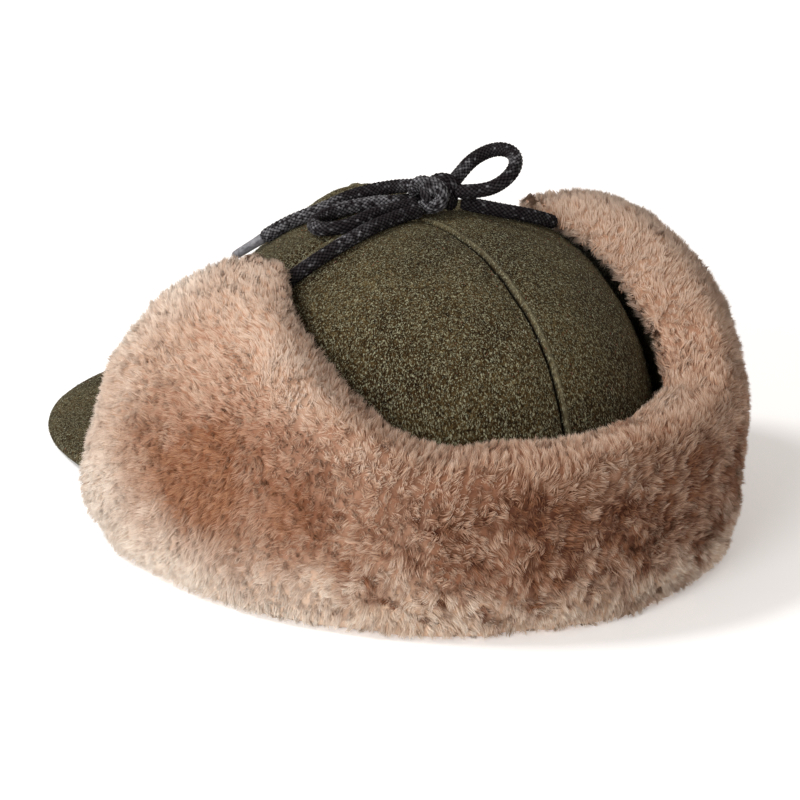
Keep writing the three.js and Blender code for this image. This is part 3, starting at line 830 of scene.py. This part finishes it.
def make_aglet(side):
    """A shrunk sleeve with a flared mouth, a crimped waist and a rounded tip."""
    end = np.array(LACE_ROUTES[f"lace_{side}_end"][-1], float)
    aim = unit(np.array(AGLET_AIMS[side], float))
    radius = AGLET_DIAMETER / 2
    stations = [
        (0.0, 0.86), (0.02, 0.99), (0.06, 1.0), (0.12, 0.97), (0.2, 0.93), (0.35, 0.9),
        (0.5, 0.88), (0.7, 0.86), (0.85, 0.82), (0.94, 0.74), (0.985, 0.55), (1.0, 0.25),
    ]
    path = np.array([end + aim * (AGLET_GAP - 0.3 + share * AGLET_LENGTH) for share, _ in stations])
    sides, tops = frames_along(path)
    angle = np.arange(28) * 2 * math.pi / 28
    size = radius * np.array([wide for _, wide in stations])[:, None]
    size = size * (1 + 0.03 * np.cos(3 * angle) + 0.02 * np.cos(5 * angle + 1))
    points = tube_points(path, size, angle, sides, tops)
    return closed_piece(f"sleeve_aglet_{side}", points, SLEEVE, "aglet_plastic", f"aglet_{side}")


laces = {name: make_lace(name, LACE_SEED + number) for number, name in enumerate(LACE_ROUTES)}
knot = make_knot()
aglets = {side: make_aglet(side) for side in ("left", "right")}


# Crown: four panels of melton with sunk seams, each with its turned-under edge raised beside it
PANEL_ROWS = 62
SEAM_COLUMNS = 15
SEAM_SHARE = 0.06
WELT_PLACE = 1.6
WELT_WIDTH = 0.95
WELT_HEIGHT = 0.8
CREASE_DEPTH = 1.3
STITCHED_GAP = 0.02
# How strong the painted highlight on a welt is
WELT_HIGHLIGHT_SHARE = 0.24


def panel_columns():
    near = [SEAM_SHARE * (k / SEAM_COLUMNS) ** 1.5 for k in range(SEAM_COLUMNS)]
    middle = list(np.linspace(SEAM_SHARE, 1 - SEAM_SHARE, 44))
    return np.array(near + middle + [1 - share for share in reversed(near)])


def outward_of(points):
    """Directions square to a grid of points, on the side away from the middle of the crown."""
    down = np.gradient(points, axis=0)
    along = np.gradient(points, axis=1)
    normals = unit(np.cross(along, down))
    outward = points - np.array([0, 0, 40.0])
    flip = np.sign(np.sum(normals * outward, axis=-1, keepdims=True))
    return normals * np.where(flip == 0, 1, flip)


def make_panel(name, first_bearing, welt_low, welt_high):
    climb = np.linspace(0, 1, PANEL_ROWS)[:, None]
    columns = panel_columns()[None, :]
    middle_bearing = first_bearing + 45
    reach = np.cos(climb * math.pi / 2) ** (2 / crown_roundness(np.array(middle_bearing)))
    edge = np.minimum(np.degrees(STITCHED_GAP / 2 / (HALF_WIDTH * np.maximum(reach, 1e-4))), 44.9)
    bearing = first_bearing + lerp(edge, 90 - edge, columns)
    points = crown_point(bearing, np.broadcast_to(climb, bearing.shape), 0.0)
    normals = outward_of(points)
    from_low = np.radians(bearing - first_bearing) * HALF_WIDTH * reach
    from_high = np.radians(first_bearing + 90 - bearing) * HALF_WIDTH * reach
    relief = 0.5 * value_noise(points, 34, 5) + 0.22 * value_noise(points, 12, 6)
    # Two masks for the seam colours: a painted highlight along each welt, and painted shade in each crease
    painted_welt_highlight = np.zeros_like(relief)
    sunk = np.zeros_like(relief)
    for distance, welted in ((from_low, welt_low), (from_high, welt_high)):
        pucker = value_noise(points, 5, 7) * bell(distance, 5) * 0.3
        relief = relief + pucker - CREASE_DEPTH * bell(distance, 0.8)
        sunk = np.maximum(sunk, 1 - smoothstep(distance, 0.25, 0.75))
        if welted:
            raised = bell(distance - WELT_PLACE, WELT_WIDTH)
            relief = relief + WELT_HEIGHT * raised
            painted_welt_highlight = np.maximum(painted_welt_highlight, WELT_HIGHLIGHT_SHARE * raised * (1 + 0.5 * value_noise(points, 3, 8)))
    fade = smoothstep(1 - climb, 0.0, 0.06)
    points = points + normals * (relief * fade)[..., None]
    piece = mesh_object(name, points.reshape(-1, 3), grid_faces(*bearing.shape), WOOL)
    seam = np.stack([np.clip(painted_welt_highlight, 0, 1) * fade, sunk * fade, 0 * sunk], axis=-1)
    point_colour(piece, "seam", seam.reshape(-1, 3))
    finish_solid(piece, closed=False)
    piece.select_set(True)
    wall = piece.modifiers.new("wall", "SOLIDIFY")
    wall.thickness = WOOL_THICKNESS * MM
    wall.offset = -1
    bpy.ops.object.modifier_apply(modifier="wall")
    bpy.ops.object.select_all(action="DESELECT")
    return piece


panels = []
for side, end, first, welt_low, welt_high in (
    ("left", "front", 0, False, False),
    ("left", "back", 90, True, False),
    ("right", "back", 180, True, True),
    ("right", "front", 270, False, True),
):
    panel = make_panel(f"melton_crown_{end}_{side}", first, welt_low, welt_high)
    place_on(panel, "wool_melton", f"crown_panel_{end}_{side}")
    panels.append(panel)


# Peak: melton wrapped round a short stiff blade
def make_peak():
    side = np.sin(np.linspace(-1, 1, 90) * math.pi / 2 * 0.97)
    rim = 0.86 + 0.14 * np.sin(np.linspace(0, 1, 12)[1:] * math.pi / 2)
    share = np.concatenate([np.linspace(0, 0.86, 22), rim])
    to_rim = np.clip((1 - share) / 0.12, 0, 1)
    half = PEAK_THICKNESS / 2 * np.sqrt(1 - (1 - to_rim) ** 2)
    share = np.concatenate([share, share[-2::-1]])
    lift = np.concatenate([half, -half[-2::-1]])
    around = np.radians(side * PEAK_HALF_BEARING)[:, None]
    outline = np.sqrt(np.clip(1 - np.abs(side) ** PEAK_OUTLINE_POWER, 0, 1))[:, None]
    reach = PEAK_REACH * outline * share
    x = (HALF_WIDTH + CLEARANCE) * np.sin(around) * (1 + PEAK_SPREAD * share)
    y = -(HALF_FRONT + CLEARANCE) * np.cos(around) - reach
    z = PEAK_ROOT_HEIGHT - math.tan(PEAK_DROOP) * reach - PEAK_SIDE_DROP * side[:, None] ** 2 + lift
    points = np.stack([np.broadcast_to(x, z.shape), np.broadcast_to(y, z.shape), z], axis=-1)
    swell = 0.35 * value_noise(points, 18, 9) * np.sign(lift)[None, :]
    points[..., 2] = np.maximum(points[..., 2] + swell, PEAK_LEAST)
    return closed_piece("melton_peak", points, WOOL, "wool_melton", "peak")


peak = make_peak()


# Wool side of the turned-up band, with its upper edge folded round
def make_flap_cloth():
    first = FRONT_BEARING + CLOTH_FRONT_MARGIN
    bearing = np.linspace(first, 360 - first, 200)[:, None]
    edge_rise = 0.02
    rise = np.linspace(CLOTH_LOW_RISE, CLOTH_TOP_RISE - edge_rise, 26)
    turn = np.linspace(0, math.pi, 7)[1:-1]
    loop_rise = np.concatenate([rise, rise[-1] + edge_rise * np.sin(turn), rise[::-1]])
    across = np.concatenate([np.zeros(26), 0.5 - 0.5 * np.cos(turn), np.ones(26)])
    flap = flap_at(bearing)
    height = band_height(bearing, flap, loop_rise[None, :])
    outward = CLOTH_GAP + CLOTH_THICKNESS * across[None, :] + 0 * height
    points = flap_point(bearing, flap, height, outward)
    return closed_piece("melton_flap_cloth", points, WOOL, "wool_melton", "flap_cloth")


flap_cloth = make_flap_cloth()


# Surfaces of the pile: rows go round the head, columns round the band's section
CLOSING_WIDTHS = np.array([0.04, 0.3, 0.55, 0.8])
TUFT_AREA = 4.8
HAIRS_PER_TUFT = 14
HAIR_LENGTH = 4.6
HAIR_WIDTH = 0.58
UNDERFUR_DEPTH = 3.1
TUFT_SPREAD = 1.45
TUFT_DOME = 0.7
TIP_SPREAD = 0.35
LACE_COVER = 2.6
LACE_COVER_WIDTH = 9.0


def pile_rows(low, high, count):
    """Bearings and widths of the rows, which get narrower where they close a flap's front edge."""
    bearings = np.linspace(low, high, count)
    widths = np.ones(count)
    closing = np.ones(len(CLOSING_WIDTHS))
    if low == FRONT_BEARING:
        bearings = np.concatenate([low * closing, bearings])
        widths = np.concatenate([CLOSING_WIDTHS, widths])
    if high == LAST_BEARING:
        bearings = np.concatenate([bearings, high * closing])
        widths = np.concatenate([widths, CLOSING_WIDTHS[::-1]])
    return bearings, widths


def pile_grid(bearings, widths, columns=120):
    turn = np.linspace(-math.pi / 2, 3 * math.pi / 2, 480)
    rise = np.sign(np.sin(turn)) * np.abs(np.sin(turn)) ** (2 / PILE_POWER)
    across = np.sign(np.cos(turn)) * np.abs(np.cos(turn)) ** (2 * PILE_ROOT)
    grid = []
    rises = []
    for bearing, width in zip(bearings, widths):
        loop = pile_point(np.full(turn.shape, bearing), rise, across * width)
        travelled = np.concatenate([[0], np.cumsum(np.linalg.norm(np.diff(loop, axis=0), axis=1))])
        even = np.linspace(0, travelled[-1], columns)
        grid.append(np.stack([np.interp(even, travelled, loop[:, k]) for k in range(3)], axis=1))
        rises.append(np.stack([np.interp(even, travelled, rise), np.interp(even, travelled, across)], axis=1))
    return np.array(grid), np.array(rises)


def grid_normals(grid):
    around = np.gradient(grid, axis=0)
    along = np.gradient(grid, axis=1)
    along[:, 0] = along[:, -1] = grid[:, 1] - grid[:, -2]
    normals = unit(np.cross(around, along))
    outward = grid - grid.mean(axis=1, keepdims=True)
    if np.sum(normals * outward) < 0:
        normals = -normals
    return normals


def inner_face(bearing, rise, across):
    """Where the pile's skin is sewn to the cloth: below the roll at its top, and behind its round front."""
    sewn = (across < -0.3) & (rise < CLOTH_TOP_RISE + 0.02) & (rise > -0.97)
    return sewn & (pile_fullness(bearing) > 0.98)


def tuft_lift(points):
    """How far the tufts' tips stand out of the pile's even outline, more where they close over a lace."""
    lift = 0.7 + 1.2 * value_noise(points, 22, 14) + 0.8 * value_noise(points, 8, 15)
    lift = lift + 0.5 * value_noise(points, 4.2, 19)
    for name, last in (("lace_left_strand", 0), ("lace_right_strand", -1)):
        away = np.linalg.norm(points - np.array(LACE_ROUTES[name][last], float), axis=-1)
        lift = lift + LACE_COVER * bell(away, LACE_COVER_WIDTH)
    return lift


def make_underfur(name, low, high, node):
    """The close wool at the skin, which shows only between the tufts."""
    bearings, widths = pile_rows(low, high, 100)
    grid, shares = pile_grid(bearings, widths)
    rise, across = shares[..., 0], shares[..., 1]
    hidden = inner_face(bearings[:, None], rise, across)
    fullness = lerp(0.5, 1, pile_fullness(bearings))[:, None]
    inset = np.where(hidden, 0.2, UNDERFUR_DEPTH * fullness - tuft_lift(grid))
    points = grid - grid_normals(grid) * inset[..., None]
    points[..., 2] = np.maximum(points[..., 2], UNDERFUR_LEAST)
    tone = pile_tone(points, bearings[:, None], rise)
    backward = backward_share(bearings)[:, None]
    # The underfur takes the dark colour of the hairs' roots, partly the wool's own and partly painted shade
    # between the tufts
    height = np.where(hidden, 0.0, lerp(0.4, 0.05, backward))
    # Painted light: paler and creamier at the lower edge and round the left flap's front
    painted_light_cream = pile_painted_light(points, bearings[:, None], rise)
    hair = np.stack([height, tone, painted_light_cream], axis=-1)[:, :-1]
    return closed_piece(name, points[:, :-1], PILE, "shearling", node, hair)


# Pile in tufts: each hair is a slim three-sided spike that leans to its tuft's tip
def spread_evenly(weights, count, seed):
    """Places in a grid of weighted cells, spread evenly by a fixed low-discrepancy sequence."""
    rng = np.random.default_rng(seed)
    number = np.arange(count) + 0.5
    first = np.mod(number * 0.7548776662466927 + rng.random(), 1)
    second = np.mod(number * 0.5698402909980532 + rng.random(), 1)
    by_row = weights.sum(axis=1)
    row_ends = np.concatenate([[0], np.cumsum(by_row)]) / by_row.sum()
    row_place = np.interp(first, row_ends, np.arange(len(by_row) + 1))
    row = np.minimum(row_place.astype(int), len(by_row) - 1)
    column_ends = np.cumsum(weights, axis=1) / np.maximum(by_row[:, None], 1e-12)
    column_place = np.empty(count)
    for each in range(len(by_row)):
        chosen = row == each
        ends = np.concatenate([[0], column_ends[each]])
        column_place[chosen] = np.interp(second[chosen], ends, np.arange(weights.shape[1] + 1))
    return row_place, np.minimum(column_place, weights.shape[1] - 1e-6)


def between(grid, row_place, column_place):
    """Values of a grid at places between its rows and columns."""
    row = np.clip(row_place.astype(int), 0, grid.shape[0] - 2)
    column = np.clip(column_place.astype(int), 0, grid.shape[1] - 2)
    down = (row_place - row)[:, None]
    along = (column_place - column)[:, None]
    top = lerp(grid[row, column], grid[row, column + 1], along)
    low = lerp(grid[row + 1, column], grid[row + 1, column + 1], along)
    return lerp(top, low, down)


# Broad brown patches where the pile is brushed apart: bearing, rise, their half sizes, strength
BROWN_PATCHES = [
    (106, 0.02, 19, 0.45, 1.0),
    (160, -0.15, 11, 0.35, 0.2),
    (186, 0.0, 9, 0.4, 0.12),
    (214, 0.05, 18, 0.6, 0.4),
    (262, 0.1, 16, 0.45, 0.4),
]


def pile_tone(points, bearing, rise):
    """How brown the pile is, from 0 at its pale edges to 1 where it is brushed apart."""
    from_edge = np.minimum(1 - np.abs(rise), (from_front(bearing) - FRONT_BEARING) / 30)
    inside = smoothstep(from_edge, 0.02, 0.5)
    tone = 0.3 * inside
    for at_bearing, at_rise, half_bearing, half_rise, strength in BROWN_PATCHES:
        near = bell((bearing - at_bearing) / half_bearing, 1) * bell((rise - at_rise) / half_rise, 1)
        tone = tone + strength * near * (1 + 0.5 * value_noise(points, 20, 17))
    backward = backward_share(bearing)
    mottle = 0.25 * value_noise(points, 26, 11) + lerp(0.16, 0.55, backward) * value_noise(points, 9, 12)
    mottle = mottle + lerp(0.14, 1.1, backward) * value_noise(points, 3.6, 13)
    return np.clip(tone + mottle * lerp(0.35, 1, inside), 0, 1)


def pile_painted_light(points, bearing, rise):
    """How much paler and creamier the pile's pale tone is painted, as painted light: at its lower edge and
    round the front of the left flap, less so on the right side, as painted shade.
    """
    low = 1 - smoothstep(rise, -0.8, -0.1)
    front = 1 - smoothstep(bearing, 70, 96)
    painted_light_cream = np.maximum(1.2 * low, 0.4 * front)
    # Less of it on the right side, as painted shade
    right_side = smoothstep(bearing, 205, 240)
    return np.clip((painted_light_cream + 0.3 * value_noise(points, 14, 18)) * lerp(1, 0.35, right_side), 0, 1)


def make_fur(name, low, high, seed, part, parts):
    """One piece of the pile, between two bearings, with every so manyth tuft of that stretch."""
    bearings, widths = pile_rows(low, high, 110)
    grid, shares = pile_grid(bearings, widths)
    normals = grid_normals(grid)
    cell = np.cross(grid[1:, :-1] - grid[:-1, :-1], grid[:-1, 1:] - grid[:-1, :-1])
    area = np.linalg.norm(cell, axis=-1)
    hidden = inner_face(bearings[:-1, None], shares[:-1, :-1, 0], shares[:-1, :-1, 1])
    area = np.where(hidden, 0, area)
    under = grid[:-1, :-1, 2] < 0.2
    area = np.where(under, area * 0.25, area)
    tufts = int(area.sum() / TUFT_AREA)
    row_place, column_place = spread_evenly(area, tufts, seed)
    row_place = row_place[part::parts]
    column_place = column_place[part::parts]
    count = len(row_place)
    rng = np.random.default_rng(seed * 10 + part)

    skin = between(grid, row_place, column_place)
    normal = unit(between(normals, row_place, column_place))
    share = between(shares, row_place, column_place)
    bearing = np.interp(row_place, np.arange(len(bearings)), bearings)
    along = unit(np.cross(normal, [0.0, 0.0, 1.0]) + 1e-6)
    upward = np.cross(along, normal)

    backward = backward_share(bearing)
    swirl = noise_vectors(skin, 30, 50) * 0.3
    swirl = swirl + noise_vectors(skin, 7, 60) * lerp(0.25, 0.6, backward)[:, None]
    swirl = swirl + upward * (0.25 * share[:, :1]) + rng.normal(0, 0.26, (count, 3))
    swirl = swirl - normal * np.sum(swirl * normal, axis=1, keepdims=True)
    lean = unit(normal + swirl)
    lift = tuft_lift(skin) + rng.normal(0, 0.3, count)
    thin = lerp(0.55, 1, pile_fullness(bearing))
    length = HAIR_LENGTH * thin * (1 + rng.normal(0, 0.06, count))

    hairs = HAIRS_PER_TUFT
    angle = rng.random((count, hairs)) * 2 * math.pi
    from_middle = np.sqrt(rng.random((count, hairs)))
    radius = from_middle * TUFT_SPREAD * rng.uniform(0.75, 1.2, (count, 1))
    root_along = radius * np.cos(angle)
    root_up = radius * np.sin(angle)
    tip_shift = rng.normal(0, TIP_SPREAD, (count, hairs, 2))
    rise_out = lift[:, None] - TUFT_DOME * from_middle ** 2 + rng.normal(0, 0.3, (count, hairs))
    tip = skin[:, None] + normal[:, None] * rise_out[..., None]
    tip = tip + along[:, None] * (0.6 * root_along + tip_shift[..., 0])[..., None]
    tip = tip + upward[:, None] * (0.6 * root_up + tip_shift[..., 1])[..., None]
    root = tip - lean[:, None] * length[:, None, None]
    root = root + along[:, None] * (0.4 * root_along)[..., None]
    root = root + upward[:, None] * (0.4 * root_up)[..., None]
    tip[..., 2] = np.maximum(tip[..., 2], TIP_LEAST)
    root[..., 2] = np.maximum(root[..., 2], ROOT_LEAST)
    tip = tip.reshape(-1, 3)
    root = root.reshape(-1, 3)
    total = len(tip)

    direction = unit(tip - root)
    first_side = unit(np.cross(direction, rng.normal(0, 1, (total, 3))))
    second_side = np.cross(direction, first_side)
    width = HAIR_WIDTH / 2 * (0.7 + 0.6 * rng.random(total))[:, None]
    points = np.empty((total, 4, 3))
    shading = np.empty((total, 4, 3))
    face_out = np.repeat(normal, hairs, axis=0)
    for corner in range(3):
        turn = corner * 2 * math.pi / 3
        spoke = first_side * math.cos(turn) + second_side * math.sin(turn)
        points[:, corner] = root + spoke * width
        shading[:, corner] = unit(0.35 * spoke + face_out)
    points[:, 3] = tip
    shading[:, 3] = face_out
    piece = spikes(name, points, PILE)
    piece.data.normals_split_custom_set_from_vertices(shading.reshape(-1, 3).astype(np.float32))

    tone = pile_tone(skin, bearing, share[:, 0]) + rng.normal(0, 0.05, count)
    tone = np.repeat(tone, hairs) + rng.normal(0, 0.07, total)
    colours = np.empty((total, 4, 3), np.float32)
    # Red: the roots are darker, partly the wool's own colour and partly painted shade deep in the pile,
    # darkest toward the back
    colours[:, :3, 0] = np.repeat(lerp(0.35, 0.0, backward), hairs)[:, None]
    # Painted shade on the tips at each tuft's rim and in the hollows between tufts
    hollow_shade = np.clip(value_noise(skin, 4.2, 19) * -1.2, 0, 1) * backward
    depth = np.repeat(lerp(0.18, 0.6, backward) + 0.4 * hollow_shade, hairs)
    top = 1 - np.repeat(0.4 * hollow_shade, hairs) + rng.normal(0, 0.08, total)
    colours[:, 3, 0] = np.clip(top - depth * from_middle.ravel() ** 2, 0, 1)
    colours[..., 1] = np.clip(tone, 0, 1)[:, None]
    # Painted light: paler and creamier at the lower edge and round the left flap's front
    painted_light_cream = np.repeat(pile_painted_light(skin, bearing, share[:, 0]), hairs) + rng.normal(0, 0.06, total)
    colours[..., 2] = np.clip(painted_light_cream, 0, 1)[:, None]
    point_colour(piece, "hair", colours.reshape(-1, 3))
    place_on(piece, "shearling")
    return piece


for name, node, low, high, seed in (
    ("left_ear", "pile_left_ear", FRONT_BEARING, PILE_SEAMS[0], 71),
    ("back", "pile_back", PILE_SEAMS[0], PILE_SEAMS[1], 72),
    ("right_ear", "pile_right_ear", PILE_SEAMS[1], LAST_BEARING, 73),
):
    make_underfur(f"underfur_{name}", low, high, node)
    for part in range(2):
        make_fur(f"tufts_{name}_{part + 1}", low, high, seed, part, 2)


# Loose fibres in the nap of the melton
DYE_LOTS = [
    ("#2b281d", 0.2),
    ("#474431", 0.32),
    ("#67664f", 0.24),
    ("#8b8c77", 0.15),
    ("#b3b39e", 0.05),
    ("#7d4538", 0.04),
]


def make_nap(name, pieces, per_square_mm, seed):
    rng = np.random.default_rng(seed)
    starts, normals = [], []
    for piece in pieces:
        mesh = piece.data
        mesh.calc_loop_triangles()
        co = np.empty(len(mesh.vertices) * 3, np.float32)
        mesh.vertices.foreach_get("co", co)
        co = co.reshape(-1, 3)
        triangles = np.empty(len(mesh.loop_triangles) * 3, np.int32)
        mesh.loop_triangles.foreach_get("vertices", triangles)
        corners = (co[triangles.reshape(-1, 3)] - HEAD_CENTRE) / MM
        cross = np.cross(corners[:, 1] - corners[:, 0], corners[:, 2] - corners[:, 0])
        area = np.linalg.norm(cross, axis=1) / 2
        square = cross / np.maximum(area * 2, 1e-9)[:, None]
        outward = np.sum(square * (corners.mean(axis=1) - [0, 0, 20]), axis=1) > 0
        area = area * outward
        count = int(area.sum() * per_square_mm)
        chosen = rng.choice(len(area), count, p=area / area.sum())
        shares = rng.random((count, 2))
        over = shares.sum(axis=1) > 1
        shares[over] = 1 - shares[over]
        picked = corners[chosen]
        starts.append(
            picked[:, 0]
            + shares[:, :1] * (picked[:, 1] - picked[:, 0])
            + shares[:, 1:] * (picked[:, 2] - picked[:, 0])
        )
        normals.append(square[chosen])
    start = np.vstack(starts)
    normal = np.vstack(normals)
    count = len(start)
    heading = rng.normal(0, 1, (count, 3))
    heading = unit(heading - normal * np.sum(heading * normal, axis=1, keepdims=True))
    beside = np.cross(normal, heading)
    length = rng.uniform(0.5, 1.3, count)[:, None]
    width = rng.uniform(0.07, 0.12, count)[:, None]
    rise = (0.1 + 0.6 * rng.random(count) ** 4)[:, None]
    root = start + normal * 0.05
    tip = root + heading * length + normal * rise
    corners = [root - beside * width, root + beside * width, root + normal * width * 1.4, tip]
    points = np.stack(corners, axis=1)
    points[..., 2] = np.maximum(points[..., 2], NAP_LEAST)
    piece = spikes(name, points, FIBRE, smooth=False)
    lots = np.array([srgb(code)[:3] for code, _ in DYE_LOTS])
    chance = np.array([share for _, share in DYE_LOTS])
    dye = lots[rng.choice(len(lots), count, p=chance / chance.sum())]
    point_colour(piece, "dye", np.repeat(dye, 4, axis=0))
    place_on(piece, "wool_melton")
    return piece


make_nap("nap_crown", panels, 0.3, 81)
make_nap("nap_peak", [peak], 0.3, 82)
make_nap("nap_flap_cloth", [flap_cloth], 0.15, 83)


# Floor and lights
def make_floor():
    bpy.ops.mesh.primitive_plane_add(size=8)
    floor = bpy.context.object
    floor.name = "floor"
    # White paper, lit through from below as in a catalogue studio, so that it stays white
    made, tree = new_material("white_paper_sweep")
    paper = add(
        tree,
        "ShaderNodeBsdfPrincipled",
        {
            "Base Color": srgb("#f4f4f4"),
            "Roughness": 0.9,
            "Specular IOR Level": 0.1,
            "Emission Color": srgb("#ffffff"),
            "Emission Strength": 0.25,
        },
    )
    add(tree, "ShaderNodeOutputMaterial", links={"Surface": paper.outputs["BSDF"]})
    floor.data.materials.append(made)
    bpy.ops.object.select_all(action="DESELECT")


def make_light(name, place, aim, size, power):
    data = bpy.data.lights.new(name, "AREA")
    data.shape = "DISK"
    data.size = size
    data.energy = power
    lamp = bpy.data.objects.new(name, data)
    lamp.location = place
    lamp.rotation_mode = "QUATERNION"
    lamp.rotation_quaternion = (Vector(aim) - Vector(place)).to_track_quat("-Z", "Y")
    bpy.context.collection.objects.link(lamp)


make_floor()
middle = to_row([0, 0, 60])
make_light("key", middle - right * 1.5 + up * 1.9 + back * 0.8, middle, 0.7, 36)
make_light("fill", middle - right * 0.9 + up * 0.1 + back * 2.0, middle, 1.2, 27)

sky = bpy.data.worlds.new("studio")
sky.use_nodes = True
sky.node_tree.nodes["Background"].inputs["Color"].default_value = srgb("#fff6ee")
sky.node_tree.nodes["Background"].inputs["Strength"].default_value = 0.52
bpy.context.scene.world = sky
bpy.context.scene.view_settings.view_transform = "Standard"
